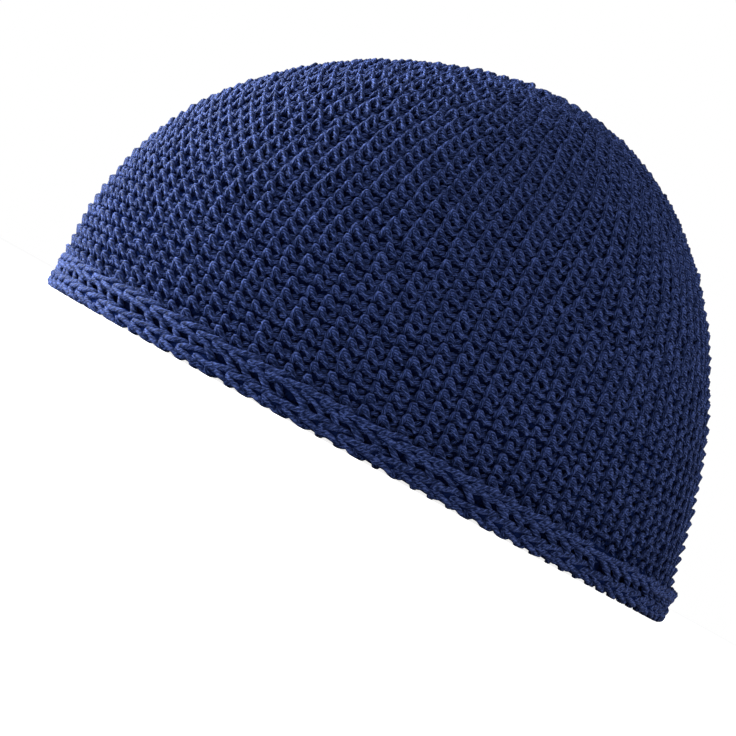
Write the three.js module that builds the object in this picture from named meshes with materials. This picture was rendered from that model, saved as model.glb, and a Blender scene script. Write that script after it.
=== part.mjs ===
// A kufi: a hand-crocheted cotton skull cap that stands on its rim.
// Millimetres, +Z up, the wearer's front towards -Y.
// The origin is the middle of the rim, on the surface that the cap stands on.
import * as THREE from "three";

// Driving dimensions, all over the outside of the cloth.
const CAP_LENGTH = 207; // front to back, over the band
const CAP_WIDTH = 173; // side to side, over the band
const CAP_HEIGHT = 122;
const CLOTH = 3; // thickness of the crocheted wall
const GAP = 0.3; // clearance between neighbouring pieces

// The dome's outline: half-width over full half-width is (1 - t^RISE)^(1 / ROUNDNESS),
// where t is the height over the cap's height.
const RISE = 2.3;
const ROUNDNESS = 1.8;
const FRONT_BULGE = 4.5; // how far the dome swells forward at half its height
const APEX_BACK = 6; // how far behind the rim's middle the top of the dome lies

// The band, from the surface up: a rolled ridge, a sunk round and a second ridge.
const BAND_PROUD = 1.5; // how far both ridges stand out of the dome
const RIM_BRAID_TOP = 5;
const EYELET_TOP = 7;
const UPPER_BRAID_TOP = 11;
const EYELET_SUNK = 0.6; // how far the sunk round lies inside the dome's surface
const FOOT_WIDTH = 2.6; // flat ring that the rolled edge stands on
const ROLL_START = 1.25; // height over which the edge is round, and under which it narrows to its foot

// How finely the walls are faceted.
const SIDES = 64;
const DOME_ROWS = 20;
const RIDGE_CORNERS = 10;

const NAVY = 0x2b3266;
const COTTON = { color: NAVY, roughness: 0.9, metalness: 0 };

const BAND_DEPTH = BAND_PROUD + CLOTH;
const DOME_HALF_LENGTH = CAP_LENGTH / 2 - BAND_PROUD;
const DOME_HALF_WIDTH = CAP_WIDTH / 2 - BAND_PROUD;

// Share of its full width that a dome of the given height keeps at height z.
function domeShare(z, height) {
  const t = Math.min(z / height, 1);
  return (1 - t ** RISE) ** (1 / ROUNDNESS);
}

// Where the dome's oval section has its middle, along Y.
function domeMiddle(z) {
  const t = z / CAP_HEIGHT;
  return APEX_BACK * t ** 4 - FRONT_BULGE * Math.sin(Math.PI * t);
}

// One oval section of a wall, that lies the given depth inside the dome.
function domeSection(z, depth) {
  const share = domeShare(z, CAP_HEIGHT - depth);
  return {
    halfLength: (DOME_HALF_LENGTH - depth) * share,
    halfWidth: (DOME_HALF_WIDTH - depth) * share,
    middle: domeMiddle(z),
    z,
  };
}

// One oval section of the band, that lies the given depth inside its outermost line.
function bandSection(depth, z) {
  return {
    halfLength: CAP_LENGTH / 2 - depth,
    halfWidth: CAP_WIDTH / 2 - depth,
    middle: 0,
    z,
  };
}

// Sweeps a row of sections round the cap. A closed row joins its last section to its first.
// Otherwise both its ends are single points, where the dome's two faces meet the middle line.
function sweepRound(sections, closed) {
  const positions = [];
  const faces = [];
  const starts = sections.map((section) => {
    const start = positions.length / 3;
    const corners = section.halfLength > 0 ? SIDES : 1;
    for (let i = 0; i < corners; i++) {
      const angle = (2 * Math.PI * i) / SIDES;
      positions.push(
        section.halfWidth * Math.sin(angle),
        section.middle - section.halfLength * Math.cos(angle),
        section.z,
      );
    }
    return { start, corners };
  });
  const corner = (row, i) => row.start + (i % row.corners);
  const strips = closed ? starts.length : starts.length - 1;
  for (let k = 0; k < strips; k++) {
    const here = starts[k];
    const next = starts[(k + 1) % starts.length];
    for (let i = 0; i < SIDES; i++) {
      if (here.corners > 1) faces.push(corner(here, i), corner(next, i), corner(here, i + 1));
      if (next.corners > 1) faces.push(corner(here, i + 1), corner(next, i), corner(next, i + 1));
    }
  }
  const geometry = new THREE.BufferGeometry();
  geometry.setAttribute("position", new THREE.Float32BufferAttribute(positions, 3));
  geometry.setIndex(faces);
  geometry.computeVertexNormals();
  return geometry;
}

// The heights of the dome's sections, from the top of the band to the top of one of its faces.
function domeHeights(bottom, top) {
  const start = Math.asin(bottom / top);
  return Array.from({ length: DOME_ROWS + 1 }, (_, i) => {
    const angle = THREE.MathUtils.lerp(start, Math.PI / 2, i / DOME_ROWS);
    return top * Math.sin(angle);
  });
}

// The hollow dome, open at the bottom, where it stands on the band.
function crownGeometry() {
  const bottom = UPPER_BRAID_TOP + GAP;
  const outside = domeHeights(bottom, CAP_HEIGHT).map((z) => domeSection(z, 0));
  const inside = domeHeights(bottom, CAP_HEIGHT - CLOTH).map((z) => domeSection(z, CLOTH));
  return sweepRound([...outside.reverse(), ...inside], false);
}

// A ridge of the band, with an oval cross-section between two heights.
function ridgeSections(bottom, top) {
  const middleDepth = BAND_DEPTH / 2;
  return Array.from({ length: RIDGE_CORNERS }, (_, i) => {
    const angle = (2 * Math.PI * (i + 0.5)) / RIDGE_CORNERS;
    const depth = middleDepth - middleDepth * Math.sin(angle);
    const z = (top + bottom) / 2 + ((top - bottom) / 2) * Math.cos(angle);
    return bandSection(depth, z);
  });
}

// The rolled lower ridge, round above and on a flat foot.
function rimBraidGeometry() {
  const middleDepth = BAND_DEPTH / 2;
  const sections = ridgeSections(0, RIM_BRAID_TOP).filter((section) => section.z > ROLL_START);
  const foot = [middleDepth - FOOT_WIDTH / 2, middleDepth + FOOT_WIDTH / 2];
  const split = sections.findIndex((section) => section.halfLength < CAP_LENGTH / 2 - middleDepth);
  sections.splice(split, 0, bandSection(foot[0], 0), bandSection(foot[1], 0));
  return sweepRound(sections, true);
}

function upperBraidGeometry() {
  return sweepRound(ridgeSections(EYELET_TOP + GAP, UPPER_BRAID_TOP), true);
}

// The sunk round between the two ridges.
function eyeletRoundGeometry() {
  const bottom = RIM_BRAID_TOP + GAP;
  const outer = BAND_PROUD + EYELET_SUNK;
  return sweepRound(
    [
      bandSection(outer, EYELET_TOP),
      bandSection(outer, bottom),
      bandSection(BAND_DEPTH, bottom),
      bandSection(BAND_DEPTH, EYELET_TOP),
    ],
    true,
  );
}

function cottonPiece(name, geometry) {
  const mesh = new THREE.Mesh(geometry, new THREE.MeshStandardMaterial(COTTON));
  mesh.name = name;
  return mesh;
}

const kufi = new THREE.Group();
kufi.add(cottonPiece("crown", crownGeometry()));
kufi.add(cottonPiece("upper_braid", upperBraidGeometry()));
kufi.add(cottonPiece("eyelet_round", eyeletRoundGeometry()));
kufi.add(cottonPiece("rim_braid", rimBraidGeometry()));

export default kufi;
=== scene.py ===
"""A navy kufi: a hand-crocheted cotton skull cap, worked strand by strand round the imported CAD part.

Lengths on the cap are millimetres, and its meshes are written in metres. The floor, the lights and
the camera are given in metres.
A place on the cloth is given as (turn, reach, lift): turns round the cap from the forehead towards
the wearer's left, millimetres up the cloth from the band, and millimetres out of the dome.
"""
import math

import bpy
import numpy as np
from mathutils import Matrix, Vector


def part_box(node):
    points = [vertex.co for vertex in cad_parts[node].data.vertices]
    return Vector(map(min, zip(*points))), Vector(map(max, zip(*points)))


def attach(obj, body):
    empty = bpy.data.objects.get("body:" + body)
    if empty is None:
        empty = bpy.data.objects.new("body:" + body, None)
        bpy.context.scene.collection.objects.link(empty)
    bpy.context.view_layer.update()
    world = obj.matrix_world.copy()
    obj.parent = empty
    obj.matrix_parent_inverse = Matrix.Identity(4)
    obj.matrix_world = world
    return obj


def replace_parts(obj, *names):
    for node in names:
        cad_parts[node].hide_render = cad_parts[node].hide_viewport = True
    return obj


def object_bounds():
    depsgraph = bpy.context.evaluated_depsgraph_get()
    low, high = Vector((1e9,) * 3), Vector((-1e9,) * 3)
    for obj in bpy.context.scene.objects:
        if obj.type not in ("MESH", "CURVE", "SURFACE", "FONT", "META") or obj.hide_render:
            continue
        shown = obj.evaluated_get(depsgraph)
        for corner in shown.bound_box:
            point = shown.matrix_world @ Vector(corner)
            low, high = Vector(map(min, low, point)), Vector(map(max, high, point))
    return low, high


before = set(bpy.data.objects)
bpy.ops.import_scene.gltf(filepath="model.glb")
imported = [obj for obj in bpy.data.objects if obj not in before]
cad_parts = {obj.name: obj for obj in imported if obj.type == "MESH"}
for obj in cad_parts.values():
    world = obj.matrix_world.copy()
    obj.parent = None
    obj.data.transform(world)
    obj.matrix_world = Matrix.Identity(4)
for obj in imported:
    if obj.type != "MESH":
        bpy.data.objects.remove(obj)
CAD_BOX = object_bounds()

MM = 0.001
SEED = 11

# The cap's outline, as in the CAD part.
BOX_LOW, BOX_HIGH = (np.array(corner) / MM for corner in CAD_BOX)
CAP_WIDTH, CAP_LENGTH, CAP_HEIGHT = BOX_HIGH - BOX_LOW
CLOTH = 3.0
RISE = 2.3
ROUNDNESS = 1.8
FRONT_BULGE = 4.5
APEX_BACK = 6.0
BAND_PROUD = 1.5
HALF_LENGTH = CAP_LENGTH / 2 - BAND_PROUD
HALF_WIDTH = CAP_WIDTH / 2 - BAND_PROUD
BAND_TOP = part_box("upper_braid")[1][2] / MM
EYELET_LOW, EYELET_HIGH = (corner[2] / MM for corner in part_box("eyelet_round"))

# The crochet's gauge.
RIM_STITCHES = 106
ROW_HEIGHT = 3.45
YARN = 0.65  # radius of the yarn
ROW_DRIFT = 0.05  # how far each row's stitches lie round from those below, in stitches
EASING = 6  # how often each stitch moves halfway to the middle of its neighbours, for each round
MERGE_JITTER = 0.08  # how unevenly the stitches that are worked together are spaced
WAVES = 5  # gentle waves round each row, how high they are, and how far they lag row by row
WAVE_HEIGHT = 0.10
WAVE_LAG = 0.9
TURN_JITTER = 0.02  # in stitches
REACH_JITTER = 0.08
FLOOR_CLEAR = 0.05  # yarn that would reach the floor is pressed flat this far above it

# How finely the oval and the meridian are worked out, and how far a slope's two points lie to each
# side of it.
TABLE_STEPS = 600
TURN_NUDGE = 1e-4  # in turns
REACH_NUDGE = 0.2
SHORTEST = 1e-9  # a direction is taken from nothing shorter


def dome_share(z):
    """Share of its full width that the dome keeps at height z."""
    t = np.clip(z / CAP_HEIGHT, 0.0, 1.0)
    return (1 - t**RISE) ** (1 / ROUNDNESS)


def dome_middle(z):
    """Where the dome's oval section has its middle, along Y."""
    t = z / CAP_HEIGHT
    return APEX_BACK * t**4 - FRONT_BULGE * np.sin(np.pi * t)


def turn_table():
    """Turns round the oval against the angle from its middle, with equal turns equally long."""
    angle = np.linspace(0.0, 2 * np.pi, TABLE_STEPS)
    speed = np.hypot(HALF_WIDTH * np.cos(angle), HALF_LENGTH * np.sin(angle))
    length = np.concatenate([[0.0], np.cumsum((speed[1:] + speed[:-1]) / 2 * np.diff(angle))])
    return length / length[-1], angle, length[-1]


def reach_table():
    """Heights against the way up the cloth, on a dome as wide as the oval is on average."""
    start = math.asin(BAND_TOP / CAP_HEIGHT)
    z = CAP_HEIGHT * np.sin(np.linspace(start, np.pi / 2, TABLE_STEPS))
    across = (HALF_LENGTH + HALF_WIDTH) / 2 * dome_share(z)
    reach = np.concatenate([[0.0], np.cumsum(np.hypot(np.diff(across), np.diff(z)))])
    return reach, z


TURNS, ANGLES, OVAL_LENGTH = turn_table()
REACHES, HEIGHTS = reach_table()
FULL_REACH = REACHES[-1]


def angle_at(turn):
    """Angle from the oval's middle at each turn, which may lie before 0 or past 1."""
    whole = np.floor(turn)
    return 2 * np.pi * whole + np.interp(turn - whole, TURNS, ANGLES)


def height_at(reach):
    """Height of the cloth. Below the band's top the cloth goes straight down."""
    return np.where(reach < 0, BAND_TOP + reach, np.interp(reach, REACHES, HEIGHTS))


def dome_at(turn, reach):
    """Points of the dome's outer surface."""
    angle = angle_at(turn)
    z = height_at(reach)
    share = dome_share(z)
    x = HALF_WIDTH * share * np.sin(angle)
    y = dome_middle(z) - HALF_LENGTH * share * np.cos(angle)
    return np.stack(np.broadcast_arrays(x, y, z), axis=-1)


def unit(vectors):
    return vectors / np.maximum(np.linalg.norm(vectors, axis=-1, keepdims=True), SHORTEST)


def dome_frame(turn, reach):
    """Points of the dome's surface, and the outward direction at each."""
    turn, reach = np.broadcast_arrays(turn, reach)
    below = np.minimum(reach, FULL_REACH - REACH_NUDGE)
    along = dome_at(turn + TURN_NUDGE, below) - dome_at(turn - TURN_NUDGE, below)
    up = dome_at(turn, below + REACH_NUDGE) - dome_at(turn, below - REACH_NUDGE)
    return dome_at(turn, reach), unit(np.cross(along, up))


# ---------------------------------------------------------------- strands of yarn

PLIES = 5
TWIST = 1.1  # radians of twist for each millimetre of yarn
UNEVEN = 0.09  # how much the yarn's radius wanders, as a share of it


def tubes(paths, normals, radii, sides, rng):
    """Closed tubes along many paths at once: vertices, quads, end caps, and a UV for each corner of
    the quads and of the caps.
    paths and normals are (strands, points, 3), and radii broadcasts to (strands, points). The yarn
    is a little uneven all over, as rng draws it."""
    strands, points, _ = paths.shape
    radii = np.broadcast_to(radii, (strands, points))
    tangent = unit(np.gradient(paths, axis=1))
    side = unit(np.cross(tangent, normals))
    up = np.cross(side, tangent)
    around = 2 * np.pi * np.arange(sides) / sides
    r = radii[:, :, None] * rng.normal(1, UNEVEN, (strands, points, sides))
    ring = side[:, :, None] * np.cos(around)[:, None] + up[:, :, None] * np.sin(around)[:, None]
    vertices = (paths[:, :, None] + r[..., None] * ring).reshape(-1, 3)

    index = np.arange(strands * points * sides).reshape(strands, points, sides)
    after = np.roll(index, -1, axis=2)
    corners = (index[:, :-1], index[:, 1:], after[:, 1:], after[:, :-1])
    quads = np.stack(corners, axis=-1).reshape(-1, 4)
    caps = np.concatenate([index[:, 0], index[:, -1, ::-1]])
    return vertices, quads, caps, tube_uv(paths, sides), np.zeros((caps.size, 2))


def tube_uv(paths, sides):
    """A UV for each corner of the quads of tubes: turns round the strand and millimetres along it."""
    strands, points, _ = paths.shape
    steps = np.linalg.norm(np.diff(paths, axis=1), axis=-1)
    length = np.concatenate([np.zeros((strands, 1)), np.cumsum(steps, axis=1)], axis=1)
    low = np.broadcast_to(length[:, :-1, None], (strands, points - 1, sides))
    high = np.broadcast_to(length[:, 1:, None], low.shape)
    near = np.broadcast_to(np.arange(sides) / sides, low.shape)
    far = near + 1 / sides
    pairs = ((near, low), (near, high), (far, high), (far, low))
    return np.stack([np.stack(pair, axis=-1) for pair in pairs], axis=-2).reshape(-1, 2)


def yarn_piece(name, groups, material):
    """One mesh object from groups of tubes."""
    vertices, faces, quad_uv, cap_faces, cap_uv = [], [], [], [], []
    start = 0
    for group_vertices, quads, caps, uv, end_uv in groups:
        vertices.append(group_vertices)
        faces.extend((quads + start).tolist())
        cap_faces.extend((caps + start).tolist())
        quad_uv.append(uv)
        cap_uv.append(end_uv)
        start += len(group_vertices)
    uv = np.concatenate(quad_uv + cap_uv)
    return add_piece(name, np.concatenate(vertices), faces + cap_faces, uv, [material])


def add_piece(name, points, faces, uv, materials):
    """A smooth-shaded object that rides on the cap's one body, with a UV for each corner of a face.
    What would reach the floor is pressed flat just above it."""
    points = points.reshape(-1, 3).copy()
    points[:, 2] = np.maximum(points[:, 2], FLOOR_CLEAR)
    mesh = bpy.data.meshes.new(name)
    mesh.from_pydata((points * MM).tolist(), [], faces)
    layer = mesh.uv_layers.new(name="yarn")
    layer.data.foreach_set("uv", uv.astype(np.float32).ravel())
    mesh.polygons.foreach_set("use_smooth", np.ones(len(mesh.polygons), dtype=bool))
    for material in materials:
        mesh.materials.append(material)
    piece = bpy.data.objects.new(name, mesh)
    bpy.context.scene.collection.objects.link(piece)
    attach(piece, "root")
    return piece


# ---------------------------------------------------------------- materials

NOISE_DETAIL = 2.0
FIBRE_SCALE = 1.7
FIBRE_STRETCH = 0.65  # how fast the fibres change along the yarn, for each millimetre
PATCH_SCALE = 600.0  # patches of lighter and darker yarn, for each metre
FIBRE_TONE_AND_PAINTED_LIGHT = 0.68  # how much the fibres, the plies and the patches each change the tone. The patches change it at random. The fibres change it partly at random and partly as painted highlight on their tops and painted shade between them. The plies change it only as painted highlight and painted shade.
PLY_PAINTED_LIGHT = 0.06
PATCH_TONE = 0.26
PLY_BUMP = 0.15  # how far the plies stand out, where the fibres stand out by 1


def node(tree, kind, **values):
    made = tree.nodes.new(kind)
    for key, value in values.items():
        setattr(made, key, value)
    return made


def new_material(name):
    material = bpy.data.materials.new(name)
    material.use_nodes = True
    tree = material.node_tree
    return material, tree, tree.nodes["Principled BSDF"]


def set_sockets(shader, values):
    for name, value in values.items():
        shader.inputs[name].default_value = value


def noise(tree, vector, scale):
    made = node(tree, "ShaderNodeTexNoise")
    made.inputs["Scale"].default_value = scale
    made.inputs["Detail"].default_value = NOISE_DETAIL
    tree.links.new(vector, made.inputs["Vector"])
    return made.outputs["Fac"]


def colours(tree, factor, stops):
    """A ramp through stops of (position, colour)."""
    ramp = node(tree, "ShaderNodeValToRGB")
    elements = ramp.color_ramp.elements
    elements[0].position, elements[0].color = stops[0][0], (*stops[0][1], 1)
    elements[1].position, elements[1].color = stops[-1][0], (*stops[-1][1], 1)
    for position, colour in stops[1:-1]:
        elements.new(position).color = (*colour, 1)
    tree.links.new(factor, ramp.inputs["Fac"])
    return ramp.outputs["Color"]


def maths(tree, operation, *values):
    """A Math node, whose values are numbers or other nodes' outputs."""
    made = node(tree, "ShaderNodeMath", operation=operation)
    for socket, value in zip(made.inputs, values):
        if isinstance(value, (int, float)):
            socket.default_value = value
        else:
            tree.links.new(value, socket)
    return made.outputs[0]


def yarn_place(tree):
    """Turns round the yarn and millimetres along it."""
    uv = node(tree, "ShaderNodeUVMap", uv_map="yarn").outputs["UV"]
    parts = node(tree, "ShaderNodeSeparateXYZ")
    tree.links.new(uv, parts.inputs[0])
    return parts.outputs["X"], parts.outputs["Y"]


def ply_height(tree, around, along):
    """Height of the twisted plies, from 0 to 1."""
    turned = maths(tree, "MULTIPLY", around, 2 * math.pi * PLIES)
    twisted = maths(tree, "MULTIPLY", along, TWIST * PLIES)
    wave = maths(tree, "COSINE", maths(tree, "SUBTRACT", turned, twisted))
    return maths(tree, "MULTIPLY_ADD", wave, 0.5, 0.5)


def fibre_height(tree, around, along):
    """Fine fibres that follow the plies."""
    turned = maths(tree, "MULTIPLY", around, 2 * math.pi)
    across = maths(tree, "SUBTRACT", turned, maths(tree, "MULTIPLY", along, TWIST))
    joined = node(tree, "ShaderNodeCombineXYZ")
    tree.links.new(across, joined.inputs["X"])
    tree.links.new(maths(tree, "MULTIPLY", along, FIBRE_STRETCH), joined.inputs["Y"])
    return noise(tree, joined.outputs[0], FIBRE_SCALE)


def cotton(name, tones, gloss, bump_distance):
    """Mercerised cotton yarn: twisted plies, fine fibres and a slight change of tone. Its colour is lighter
    on the tops of the fibres and plies and darker between them: painted highlight and painted shade.
    """
    material, tree, shader = new_material(name)
    around, along = yarn_place(tree)
    place = node(tree, "ShaderNodeTexCoord").outputs["Object"]
    fibres = fibre_height(tree, around, along)
    plies = ply_height(tree, around, along)
    patches = noise(tree, place, PATCH_SCALE)
    # The fibres and plies that raise the bump also set the colour: painted highlight on their tops and
    # painted shade between them, with random tone from the fibres and the patches.
    tone = maths(tree, "MULTIPLY", fibres, FIBRE_TONE_AND_PAINTED_LIGHT)
    tone = maths(tree, "MULTIPLY_ADD", plies, PLY_PAINTED_LIGHT, tone)
    tone = maths(tree, "MULTIPLY_ADD", patches, PATCH_TONE, tone)
    tree.links.new(colours(tree, tone, tones), shader.inputs["Base Color"])
    bump = node(tree, "ShaderNodeBump")
    bump.inputs["Strength"].default_value = 1.0
    bump.inputs["Distance"].default_value = bump_distance * MM
    tree.links.new(maths(tree, "MULTIPLY_ADD", plies, PLY_BUMP, fibres), bump.inputs["Height"])
    tree.links.new(bump.outputs["Normal"], shader.inputs["Normal"])
    set_sockets(
        shader,
        {
            "Roughness": 0.62,
            "Specular IOR Level": gloss,
            "Specular Tint": (0.45, 0.58, 1.0, 1),
            "Sheen Weight": gloss / 2,
            "Sheen Roughness": 0.4,
            "Sheen Tint": (0.5, 0.58, 1.0, 1),
        },
    )
    return material


# ---------------------------------------------------------------- the crown's stitches

STITCH_WIDTH = OVAL_LENGTH / RIM_STITCHES
TOP_RING = 2.2  # radius of the closed ring that the first round is worked into
FIRST_ROW = 0.5  # height of the first round's bends over the band, in rounds
FULL_ROUND = 0.97  # share of full width above which a round keeps all its stitches
CROWN_PIECES = 5

# A stitch is a hairpin of yarn: its bend stands out of the cloth and its two feet dive into it.
HAIRPIN_POINTS = 10
HAIRPIN_LENGTH = 2.75  # how far down the cloth the feet lie below the bend
FOOT_SPREAD = 1.85  # half of the way between the feet
FOOT_SHIFT = 1.4  # how far round towards the nape, on the left side, the feet lie from the bend
BEND_SHAPE = 1.35  # 1 is a sharp bend, 2 a round one
BEND_LIFT = -0.3
FOOT_LIFT = -1.25
BEND_FULLNESS = 1.3  # how thick the yarn swells where it is slack, and how it is squeezed in the feet
FOOT_FULLNESS = 0.85
DIVE_SHAPE = 1.4  # 1 dives evenly, more dives only near the feet
FRONT_FOOT = 1.1  # how much deeper than on average the front foot dives, and the rear one less
HAIRPIN_SIDES = 7
SIZE_SPREAD = 0.08  # how much the hairpins differ, as shares of their size, their width and their shift
WIDTH_SPREAD = 0.08
SHIFT_SPREAD = 0.15
LIFT_SPREAD = 0.16  # in millimetres

# Beside every hairpin a short bar of yarn crosses the gap, and a deeper strand runs along the row.
BAR_PLACE = (3.1, -0.35)  # round and up from the bend
BAR_LENGTH = 1.8
BAR_TILT = math.radians(20)
BAR_LIFT = -1.05
BAR_BOW = 0.8  # how much deeper the bar's ends lie than its middle
BAR_JITTER = 0.2  # in radians of tilt, in millimetres along the cloth, and half as much in depth
BAR_POINTS = 5
BAR_SIDES = 5
BAR_FULLNESS = 0.9
BURIED_LIFT = -1.6
BURIED_BOW = 0.25
BURIED_DROP = 1.55  # how far below the bends the strand runs, and how far it waves up and down
BURIED_WAVE = 0.5
BURIED_JITTER = 0.15
BURIED_OVERLAP = 0.1  # how far each length reaches past its stitch, in stitches
BURIED_POINTS = 4
BURIED_SIDES = 4
BURIED_FULLNESS = 1.3


def crown_rows():
    """Each round's reach and number of stitches, from the band up."""
    rows = round((FULL_REACH - TOP_RING) / ROW_HEIGHT)
    reach = (FULL_REACH - TOP_RING) * (np.arange(rows) + FIRST_ROW) / (rows - 1 + FIRST_ROW)
    share = dome_share(height_at(reach - ROW_HEIGHT / 2))
    counts = np.minimum(np.round(RIM_STITCHES * share / FULL_ROUND), RIM_STITCHES)
    return reach, counts.astype(int)


def next_round(turns, count, rng):
    """The turns of a round that is worked into another, with some of its stitches worked together."""
    merged = len(turns) - count
    if merged > 0:
        places = (np.arange(merged) + rng.random() + rng.normal(0, MERGE_JITTER, merged)) / merged
        turns = np.delete(turns, (places * len(turns)).astype(int) % len(turns))
    for _ in range(EASING):
        gaps = np.diff(turns, append=turns[0] + 1)
        turns = turns + (gaps - np.roll(gaps, 1)) / 4
    return turns + ROW_DRIFT / len(turns)


def crown_stitches(rng):
    """Turn, reach and round size of every stitch, a little uneven as hand work is."""
    round_turns = np.arange(RIM_STITCHES) / RIM_STITCHES
    turns, reaches, sizes = [], [], []
    for row, (reach, count) in enumerate(zip(*crown_rows())):
        round_turns = next_round(round_turns, count, rng)
        count = len(round_turns)
        wave = WAVE_HEIGHT * np.sin(2 * np.pi * WAVES * round_turns + WAVE_LAG * row)
        turns.append(round_turns + rng.normal(0, TURN_JITTER, count) / count)
        reaches.append(reach + wave + rng.normal(0, REACH_JITTER, count))
        sizes.append(np.full(count, count))
    return np.concatenate(turns), np.concatenate(reaches), np.concatenate(sizes)


def on_crown(stitches, local):
    """Paths and normals from local (along the row, up, out) millimetres, as (stitches, points, 3)."""
    turn, reach, size = (values[:, None] for values in stitches)
    turns = turn + local[..., 0] / (STITCH_WIDTH * size)
    points, normals = dome_frame(turns, np.minimum(reach + local[..., 1], FULL_REACH))
    return points + normals * local[..., 2:], normals


def hairpins(stitches, rng):
    """The bends of yarn that show, one for every stitch."""
    count = len(stitches[0])
    s = np.linspace(-1, 1, HAIRPIN_POINTS)[None, :]
    size = rng.normal(1, SIZE_SPREAD, (count, 1))
    down = np.abs(s) ** BEND_SHAPE
    shift = FOOT_SHIFT * rng.normal(1, SHIFT_SPREAD, (count, 1))
    along = FOOT_SPREAD * size * rng.normal(1, WIDTH_SPREAD, (count, 1)) * s + shift * down
    up = -HAIRPIN_LENGTH * size * down
    dive = np.abs(s) ** DIVE_SHAPE * (1 + (1 - FRONT_FOOT) * s)
    lift = BEND_LIFT + (FOOT_LIFT - BEND_LIFT) * dive + rng.normal(0, LIFT_SPREAD, (count, 1))
    paths, normals = on_crown(stitches, np.stack(np.broadcast_arrays(along, up, lift), axis=-1))
    radii = YARN * size * (BEND_FULLNESS - (BEND_FULLNESS - FOOT_FULLNESS) * np.abs(s))
    return tubes(paths, normals, radii, HAIRPIN_SIDES, rng)


def bars(stitches, rng):
    """The short lengths of yarn between neighbouring hairpins."""
    count = len(stitches[0])
    s = np.linspace(-1, 1, BAR_POINTS)[None, :]
    tilt, round_jitter, up_jitter, lift_jitter = rng.normal(0, BAR_JITTER, (4, count, 1))
    tilt = BAR_TILT + tilt
    along = BAR_PLACE[0] + round_jitter + BAR_LENGTH / 2 * s * np.cos(tilt)
    up = BAR_PLACE[1] + up_jitter + BAR_LENGTH / 2 * s * np.sin(tilt)
    lift = BAR_LIFT - BAR_BOW * s**2 + lift_jitter / 2
    paths, normals = on_crown(stitches, np.stack(np.broadcast_arrays(along, up, lift), axis=-1))
    return tubes(paths, normals, YARN * BAR_FULLNESS, BAR_SIDES, rng)


def buried_strands(stitches, rng):
    """The deep strand along each row, one length for every stitch."""
    count = len(stitches[0])
    s = np.linspace(-BURIED_OVERLAP, 1 + BURIED_OVERLAP, BURIED_POINTS)[None, :]
    along = STITCH_WIDTH * s
    jitter = rng.normal(0, BURIED_JITTER, (count, 1))
    up = -BURIED_DROP + BURIED_WAVE * np.cos(2 * np.pi * s) + jitter
    lift = BURIED_LIFT + BURIED_BOW * np.sin(np.pi * s)
    paths, normals = on_crown(stitches, np.stack(np.broadcast_arrays(along, up, lift), axis=-1))
    return tubes(paths, normals, YARN * BURIED_FULLNESS, BURIED_SIDES, rng)


def make_crown_stitches(material):
    """All the crown's stitches, from the band up, in pieces that each stay under 200,000 triangles."""
    rng = np.random.default_rng(SEED)
    every = crown_stitches(rng)
    edges = np.linspace(0, len(every[0]), CROWN_PIECES + 1).astype(int)
    for number, (first, last) in enumerate(zip(edges, edges[1:]), 1):
        stitches = [values[first:last] for values in every]
        groups = [hairpins(stitches, rng), bars(stitches, rng), buried_strands(stitches, rng)]
        yarn_piece(f"crown_rounds_{number}", groups, material)


# ---------------------------------------------------------------- the band

BAND_DEPTH = BAND_PROUD + CLOTH
RIDGE_HALF_DEPTH = BAND_DEPTH / 2

# One V-shaped chain stitch of a ridge, from its narrow end to the end of one leg. Each V's legs
# close over the narrow end of the next one.
# Columns: stitches along the rim, millimetres off the ridge's middle line, millimetres out.
LINK_LEG = (
    (-0.02, 0.00, -1.45),
    (0.10, 0.48, -0.85),
    (0.45, 0.80, -0.62),
    (0.90, 1.45, -0.52),
    (1.30, 2.15, -0.75),
    (1.62, 2.60, -1.70),
)
LOWER_LEG = 1.15  # how much further the lower leg strays from the middle line than the upper one
LINK_SAMPLES = 3  # points on each stretch of the table
BAND_YARN = 0.68  # radius of the yarn, which is slacker in the band
BAND_SIDES = 7
UPPER_FULLNESS = 1.1
LOWER_FULLNESS = 1.15
UPPER_COVER = 0.85  # how far the upper and the lower ridge's yarn reach over the sunk round
LOWER_COVER = 0.55
UPPER_RISE = 0.2  # how far the upper ridge's yarn reaches above the band

# Where each round's stitches start, in stitches.
UPPER_PHASE = 0.0
LOWER_PHASE = 0.4
WRAP_PHASE = 0.35
POST_PHASE = 0.7

# How much the links differ: along the rim in stitches, in slope, in width as a share, and out in mm.
RIM_JITTER = 0.04
LINK_SLOPE = 0.10
LINK_SPREAD = 0.07
LINK_LIFT = 0.08

# A strand that wraps the rolled edge starts on its face, and goes under it to the inside.
WRAP_POINTS = 10
WRAP_START = math.radians(-22)
WRAP_SWEEP = math.radians(-190)
WRAP_ADVANCE = 0.55  # in stitches
WRAP_LIFT = -0.6
WRAP_TUCK = 0.5  # how much deeper its ends lie
WRAP_FULLNESS = 1.2

# A post crosses the sunk round.
POST_POINTS = 7
POST_REACH = (0.6, 1.0)  # how far it goes past the sunk round above and below
POST_SLANT = 0.65  # in stitches
POST_SLANT_SPREAD = 0.12
POST_DEPTH = 1.35
POST_TUCK = 0.5
POST_DEPTH_SPREAD = 0.12
POST_FULLNESS = 1.4
POST_FULLNESS_SPREAD = 0.1


def smooth_path(points):
    """A Catmull-Rom curve through a table of points."""
    table = np.array(points, float)
    padded = np.concatenate([2 * table[:1] - table[1:2], table, 2 * table[-1:] - table[-2:-1]])
    t = np.arange(LINK_SAMPLES)[:, None] / LINK_SAMPLES
    stretches = []
    for a, b, c, d in zip(padded, padded[1:], padded[2:], padded[3:]):
        curve = 2 * b + (c - a) * t + (2 * a - 5 * b + 4 * c - d) * t**2 + (3 * b - a - 3 * c + d) * t**3
        stretches.append(curve / 2)
    return np.concatenate(stretches + [table[-1:]])


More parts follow.
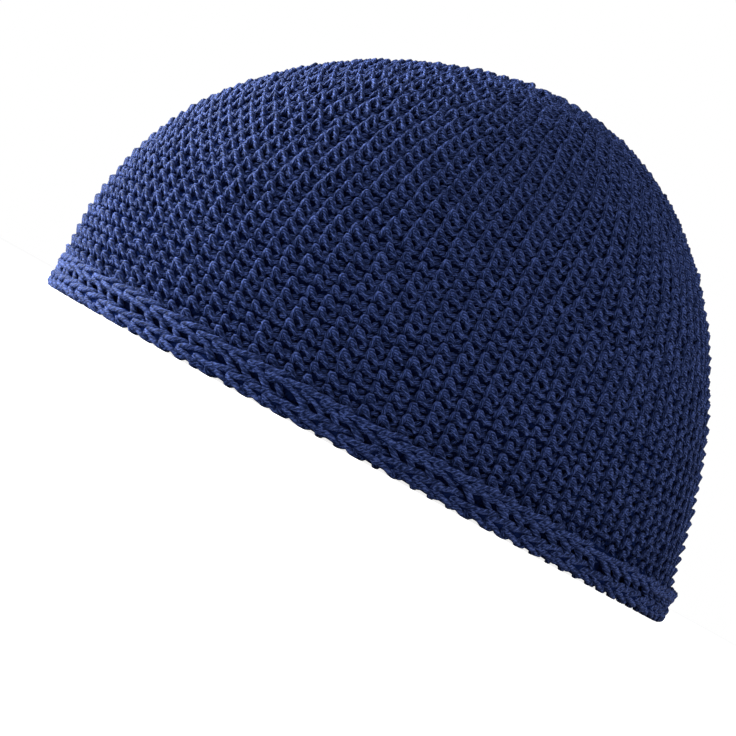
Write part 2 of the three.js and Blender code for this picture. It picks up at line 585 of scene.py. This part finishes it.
def in_band(turn, depth, z):
    """Points the given depth inside the band's outermost line, and the outward directions there."""
    angle = angle_at(turn)
    half_width = CAP_WIDTH / 2 - depth
    half_length = CAP_LENGTH / 2 - depth
    x = half_width * np.sin(angle)
    y = -half_length * np.cos(angle)
    slope = (np.sin(angle) / half_width, -np.cos(angle) / half_length, np.zeros_like(angle))
    return np.stack(np.broadcast_arrays(x, y, z), axis=-1), unit(np.stack(slope, axis=-1))


def ridge_frame(turn, climb, middle, half_height):
    """Points of a ridge's surface, climb radians up from its outermost line, and the outward directions."""
    line, out = in_band(turn, RIDGE_HALF_DEPTH, middle)
    up = np.array([0.0, 0.0, 1.0])
    sideways, upward = np.cos(climb)[..., None], np.sin(climb)[..., None]
    points = line + out * RIDGE_HALF_DEPTH * sideways + up * half_height * upward
    return points, unit(out * sideways + up * upward)


def on_ridge(turn, climb, lift, middle, half_height):
    """Points lift millimetres out of a ridge's surface, and the outward directions there."""
    points, normals = ridge_frame(turn, climb, middle, half_height)
    return points + normals * lift[..., None], normals


def rim_turns(rng, phase):
    """Where each stitch of a round of the band starts, with the round shifted by a share of a stitch."""
    places = np.arange(RIM_STITCHES) + phase
    return (places + rng.normal(0, RIM_JITTER, RIM_STITCHES)) / RIM_STITCHES


def chain_links(middle, half_height, phase, fullness, rng):
    """A round of chain links that lie along the rim on the face of a ridge."""
    leg = np.array(LINK_LEG)
    path = smooth_path(np.concatenate([leg[:0:-1], leg * (1, -1, 1)]))
    turns = rim_turns(rng, phase)[:, None] + path[None, :, 0] / RIM_STITCHES
    slope = rng.normal(0, LINK_SLOPE, (RIM_STITCHES, 1))
    spread = rng.normal(1, LINK_SPREAD, (RIM_STITCHES, 1))
    off = path[None, :, 1] * spread + slope * path[None, :, 0] * STITCH_WIDTH
    off = np.where(off < 0, off * LOWER_LEG, off)
    lift = path[None, :, 2] + rng.normal(0, LINK_LIFT, (RIM_STITCHES, 1))
    paths, normals = on_ridge(turns, off / RIDGE_HALF_DEPTH, lift, middle, half_height)
    return tubes(paths, normals, BAND_YARN * fullness, BAND_SIDES, rng)


def edge_wraps(middle, half_height, rng):
    """Strands that wrap from the face of the rolled edge under it to the inside."""
    s = np.linspace(0, 1, WRAP_POINTS)[None, :]
    turns = rim_turns(rng, WRAP_PHASE)[:, None] + WRAP_ADVANCE * s / RIM_STITCHES
    climb = np.broadcast_to(WRAP_START + WRAP_SWEEP * s, turns.shape)
    lift = np.broadcast_to(WRAP_LIFT - WRAP_TUCK * (2 * s - 1) ** 4, turns.shape)
    paths, normals = on_ridge(turns, climb, lift, middle, half_height)
    return tubes(paths, normals, BAND_YARN * WRAP_FULLNESS, BAND_SIDES, rng)


def eyelet_posts(rng):
    """Slanted strands that cross the sunk round and leave an eyelet between each two."""
    s = np.linspace(0, 1, POST_POINTS)[None, :]
    top, bottom = EYELET_HIGH + POST_REACH[0], EYELET_LOW - POST_REACH[1]
    slant = rng.normal(POST_SLANT, POST_SLANT_SPREAD, (RIM_STITCHES, 1))
    turns = rim_turns(rng, POST_PHASE)[:, None] + slant * s / RIM_STITCHES
    jitter = rng.normal(0, POST_DEPTH_SPREAD, (RIM_STITCHES, 1))
    depth = POST_DEPTH + POST_TUCK * (2 * s - 1) ** 2 + jitter
    paths, out = in_band(turns, depth, top + (bottom - top) * s)
    fullness = rng.normal(POST_FULLNESS, POST_FULLNESS_SPREAD, (RIM_STITCHES, 1))
    return tubes(paths, out, BAND_YARN * fullness, BAND_SIDES, rng)


# ---------------------------------------------------------------- the cloth behind the stitches

FACES_HEAD = 0.5  # cosine of the widest angle from straight inward that still faces the head
CLOTH_COLUMNS = 3 * RIM_STITCHES
CLOTH_GRAIN = 0.4  # turns round the yarn that its grain shows, from one row of points to the next

# The crown's cloth has a row of points for each round outside, and more inside for its bumps.
CORE_LIFT = -2.1
APEX_HOLE = 0.05  # radius left open where the two faces of the cloth meet
INSIDE_ROWS = 3
INSIDE_LIFT = -CLOTH
INSIDE_BUMP = 0.45
STITCH_BUMP = 0.4  # how much of a bump comes and goes with each stitch

# The ridges' bodies, with ribs that slant round them.
RIDGE_CORNERS = 12
RIDGE_LIFT = -1.05
RIB_HEIGHT = 0.35
RIB_SLANT = 0.8
RIDGE_GRAIN = 0.3

# The cloth behind the sunk round, which reaches up inside the crown.
EYELET_CLOTH_CORNERS = 8
EYELET_CLOTH_COLUMNS = 2 * RIM_STITCHES
EYELET_CLOTH_DEPTH = BAND_DEPTH - 1.0
EYELET_CLOTH_HALF_DEPTH = 0.8
EYELET_CLOTH_RISE = 1.0  # how far its bottom lies above the floor, and its top above the band


def ring_piece(name, points, uv_step, materials):
    """A closed surface from a grid of points whose rows and columns both run round and join up.
    materials are the one for its outside, behind the yarn, a darker copy of the yarn that is painted shade,
    and the one for what faces the head."""
    rows, columns, _ = points.shape
    index = np.arange(rows * columns).reshape(rows, columns)
    right = np.roll(index, -1, axis=1)
    above = np.roll(index, -1, axis=0)
    corner = np.roll(above, -1, axis=1)
    faces = np.stack([index, right, corner, above], axis=-1).reshape(-1, 4)
    row, column = np.divmod(faces[:, 0], columns)
    low, high = row * uv_step[0], (row + 1) * uv_step[0]
    near, far = column * uv_step[1], (column + 1) * uv_step[1]
    uv = np.stack([low, near, low, far, high, far, high, near], axis=-1)
    piece = add_piece(name, points, faces.tolist(), uv, materials)
    for polygon in piece.data.polygons:
        inward = -polygon.normal.dot(polygon.center.normalized())
        polygon.material_index = int(inward > FACES_HEAD)
    return piece


def make_crown_core(materials):
    """The crown's cloth behind its stitches, with the bumps of the rounds on the inside."""
    rows = len(crown_rows()[0])
    turn = np.arange(CLOTH_COLUMNS) / CLOTH_COLUMNS
    top = FULL_REACH - APEX_HOLE
    outside = np.linspace(0, top, rows)
    inside = np.linspace(top, 0, INSIDE_ROWS * rows)
    reach = np.concatenate([outside, inside])[:, None]
    count = np.round(RIM_STITCHES * dome_share(height_at(reach)))
    by_stitch = 1 - STITCH_BUMP + STITCH_BUMP * np.cos(2 * np.pi * count * turn)
    bump = np.cos(2 * np.pi * reach / ROW_HEIGHT) * by_stitch
    is_inside = np.arange(len(reach))[:, None] >= len(outside)
    lift = np.where(is_inside, INSIDE_LIFT - INSIDE_BUMP * bump, CORE_LIFT)
    points, normals = dome_frame(*np.broadcast_arrays(turn[None, :], reach))
    uv_step = (CLOTH_GRAIN, OVAL_LENGTH / CLOTH_COLUMNS)
    return ring_piece("crown_cloth", points + normals * lift[..., None], uv_step, materials)


def make_ridge_core(name, middle, half_height, materials):
    """The body of a ridge behind its chain links, ribbed like the yarn that fills it."""
    turn = np.arange(CLOTH_COLUMNS)[None, :] / CLOTH_COLUMNS
    climb = 2 * np.pi * np.arange(RIDGE_CORNERS)[:, None] / RIDGE_CORNERS
    ribs = np.abs(np.sin(np.pi * RIM_STITCHES * turn + RIB_SLANT * climb))
    points, normals = ridge_frame(*np.broadcast_arrays(turn, climb), middle, half_height)
    points = points + normals * (RIDGE_LIFT + RIB_HEIGHT * ribs[..., None])
    ring_piece(name, points, (RIDGE_GRAIN, OVAL_LENGTH / CLOTH_COLUMNS), materials)


def make_eyelet_cloth(materials):
    """A plain ring of cloth behind the band's yarn."""
    turn = np.arange(EYELET_CLOTH_COLUMNS)[None, :] / EYELET_CLOTH_COLUMNS
    climb = 2 * np.pi * np.arange(EYELET_CLOTH_CORNERS)[:, None] / EYELET_CLOTH_CORNERS
    turn, climb = np.broadcast_arrays(turn, climb)
    depth = EYELET_CLOTH_DEPTH - EYELET_CLOTH_HALF_DEPTH * np.cos(climb)
    half_height = BAND_TOP / 2
    points, _ = in_band(turn, depth, half_height + EYELET_CLOTH_RISE + half_height * np.sin(climb))
    ring_piece("eyelet_cloth", points, (CLOTH_GRAIN, OVAL_LENGTH / EYELET_CLOTH_COLUMNS), materials)


# ---------------------------------------------------------------- the object

# Linear colours of the yarn, from between its fibres to their tops: the yarn's random tone, with painted
# shade at the dark end and painted highlight at the light end.
NAVY_TONES_AND_PAINTED_LIGHT = ((0.41, (0.004, 0.009, 0.036)), (0.50, (0.017, 0.029, 0.101)), (0.61, (0.080, 0.122, 0.350)))
# A darker copy of the yarn's colours for the cloth behind the stitches: painted shade in the gaps between
# them.
PAINTED_SHADE_TONES = ((0.40, (0.002, 0.005, 0.030)), (0.60, (0.008, 0.018, 0.080)))

# How glossy the yarn is, and how high its fibres stand out.
YARN_GLOSS = 0.07
YARN_BUMP = 0.30
DEEP_GLOSS = 0.0
DEEP_BUMP = 0.05


def middle_and_half_height(bottom, top):
    """What the ridge functions take, for a ridge between two heights."""
    return (top + bottom) / 2, (top - bottom) / 2


def make_kufi():
    yarn = cotton("navy_yarn", NAVY_TONES_AND_PAINTED_LIGHT, YARN_GLOSS, YARN_BUMP)
    # The cloth's outside, behind the stitches, takes this darker copy of the yarn as painted shade.
    deep = cotton("navy_yarn_painted_shade", PAINTED_SHADE_TONES, DEEP_GLOSS, DEEP_BUMP)
    cloth = (deep, yarn)
    rng = np.random.default_rng(SEED + 1)
    upper = middle_and_half_height(EYELET_HIGH - UPPER_COVER, BAND_TOP + UPPER_RISE)
    lower = middle_and_half_height(0.0, EYELET_LOW + LOWER_COVER)
    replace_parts(make_crown_core(cloth), "crown")
    make_crown_stitches(yarn)
    links = yarn_piece("upper_braid_links", [chain_links(*upper, UPPER_PHASE, UPPER_FULLNESS, rng)], yarn)
    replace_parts(links, "upper_braid")
    make_ridge_core("upper_braid_body", *upper, cloth)
    posts = yarn_piece("eyelet_posts", [eyelet_posts(rng)], yarn)
    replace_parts(posts, "eyelet_round")
    make_eyelet_cloth(cloth)
    edge = [chain_links(*lower, LOWER_PHASE, LOWER_FULLNESS, rng), edge_wraps(*lower, rng)]
    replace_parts(yarn_piece("rim_braid_links", edge, yarn), "rim_braid")
    make_ridge_core("rim_braid_body", *lower, cloth)


# ---------------------------------------------------------------- floor, light and camera

FLOOR_RADIUS = 6.0
FLOOR_CORNERS = 96
FLOOR_GLOW = 0.88  # how brightly the floor shows, over what the lights give it
AMBIENT = 0.09  # strength of the even light on the cap

COOL = (0.88, 0.94, 1.0)
WHITE = (1.0, 1.0, 1.0)

# Square soft lights that face the cap: name, place, size, power and colour.
LIGHTS = (
    ("key", (-0.42, -1.30, 0.26), 0.7, 80.0, COOL),
    ("rim", (0.35, 1.25, 0.50), 0.5, 9.5, WHITE),
    ("top", (0.30, -0.75, 1.15), 0.5, 10.5, WHITE),
)

CAMERA_AZIMUTH = math.radians(86)
CAMERA_HEIGHT = 0.006
CAMERA_DISTANCE = 0.62
CAMERA_ROLL = math.radians(29)  # the cap is shown as on a level head, forehead up and nape down
AIM = Vector((0.0, -0.0087, 0.0243))
VIEW_WIDTH = 0.2184  # what the picture spans at the cap's middle
SENSOR_WIDTH = 36.0  # in millimetres
CLIP_START, CLIP_END = 0.01, 50.0


def seen_directly(tree):
    """1 for what the camera sees straight, 0 for light that falls on the cap."""
    return node(tree, "ShaderNodeLightPath").outputs["Is Camera Ray"]


def make_floor():
    """A pale floor that shows as white, like what lies behind the cap."""
    mesh = bpy.data.meshes.new("floor")
    ring = [2 * math.pi * i / FLOOR_CORNERS for i in range(FLOOR_CORNERS)]
    points = [(FLOOR_RADIUS * math.cos(a), FLOOR_RADIUS * math.sin(a), 0.0) for a in ring]
    mesh.from_pydata(points, [], [tuple(range(FLOOR_CORNERS))])
    material, tree, shader = new_material("floor")
    set_sockets(
        shader,
        {
            "Base Color": (0.9, 0.9, 0.9, 1),
            "Roughness": 0.9,
            "Specular IOR Level": 0.1,
            "Emission Color": (FLOOR_GLOW, FLOOR_GLOW, FLOOR_GLOW, 1),
        },
    )
    tree.links.new(seen_directly(tree), shader.inputs["Emission Strength"])
    mesh.materials.append(material)
    floor = bpy.data.objects.new("floor", mesh)
    bpy.context.scene.collection.objects.link(floor)


def make_world():
    """White behind the cap, and a softer even light on it."""
    world = bpy.data.worlds.new("studio")
    world.use_nodes = True
    tree = world.node_tree
    background = tree.nodes["Background"]
    background.inputs["Color"].default_value = (1, 1, 1, 1)
    strength = maths(tree, "MULTIPLY_ADD", seen_directly(tree), 1 - AMBIENT, AMBIENT)
    tree.links.new(strength, background.inputs["Strength"])
    bpy.context.scene.world = world


def make_light(name, place, size, power, colour):
    data = bpy.data.lights.new(name, "AREA")
    data.size = size
    data.energy = power
    data.color = colour
    lamp = bpy.data.objects.new(name, data)
    lamp.location = place
    aim = Vector((0, 0, CAP_HEIGHT * MM / 2)) - lamp.location
    lamp.rotation_euler = aim.to_track_quat("-Z", "Y").to_euler()
    bpy.context.scene.collection.objects.link(lamp)


def make_camera():
    data = bpy.data.cameras.new("camera")
    data.sensor_width = SENSOR_WIDTH
    data.lens = SENSOR_WIDTH * CAMERA_DISTANCE / VIEW_WIDTH
    data.clip_start, data.clip_end = CLIP_START, CLIP_END
    camera = bpy.data.objects.new("camera", data)
    level = CAMERA_DISTANCE * math.sin(CAMERA_AZIMUTH), -CAMERA_DISTANCE * math.cos(CAMERA_AZIMUTH)
    place = Vector((*level, CAMERA_HEIGHT))
    back = (place - AIM).normalized()
    right = Vector((0, 0, 1)).cross(back).normalized()
    up = back.cross(right)
    rolled_right = right * math.cos(CAMERA_ROLL) + up * math.sin(CAMERA_ROLL)
    rolled_up = back.cross(rolled_right)
    turned = Matrix((rolled_right, rolled_up, back)).transposed().to_4x4()
    camera.matrix_world = Matrix.Translation(place) @ turned
    bpy.context.scene.collection.objects.link(camera)
    bpy.context.scene.camera = camera


make_kufi()
make_floor()
make_world()
for light in LIGHTS:
    make_light(*light)
make_camera()
bpy.context.scene.view_settings.view_transform = "Standard"
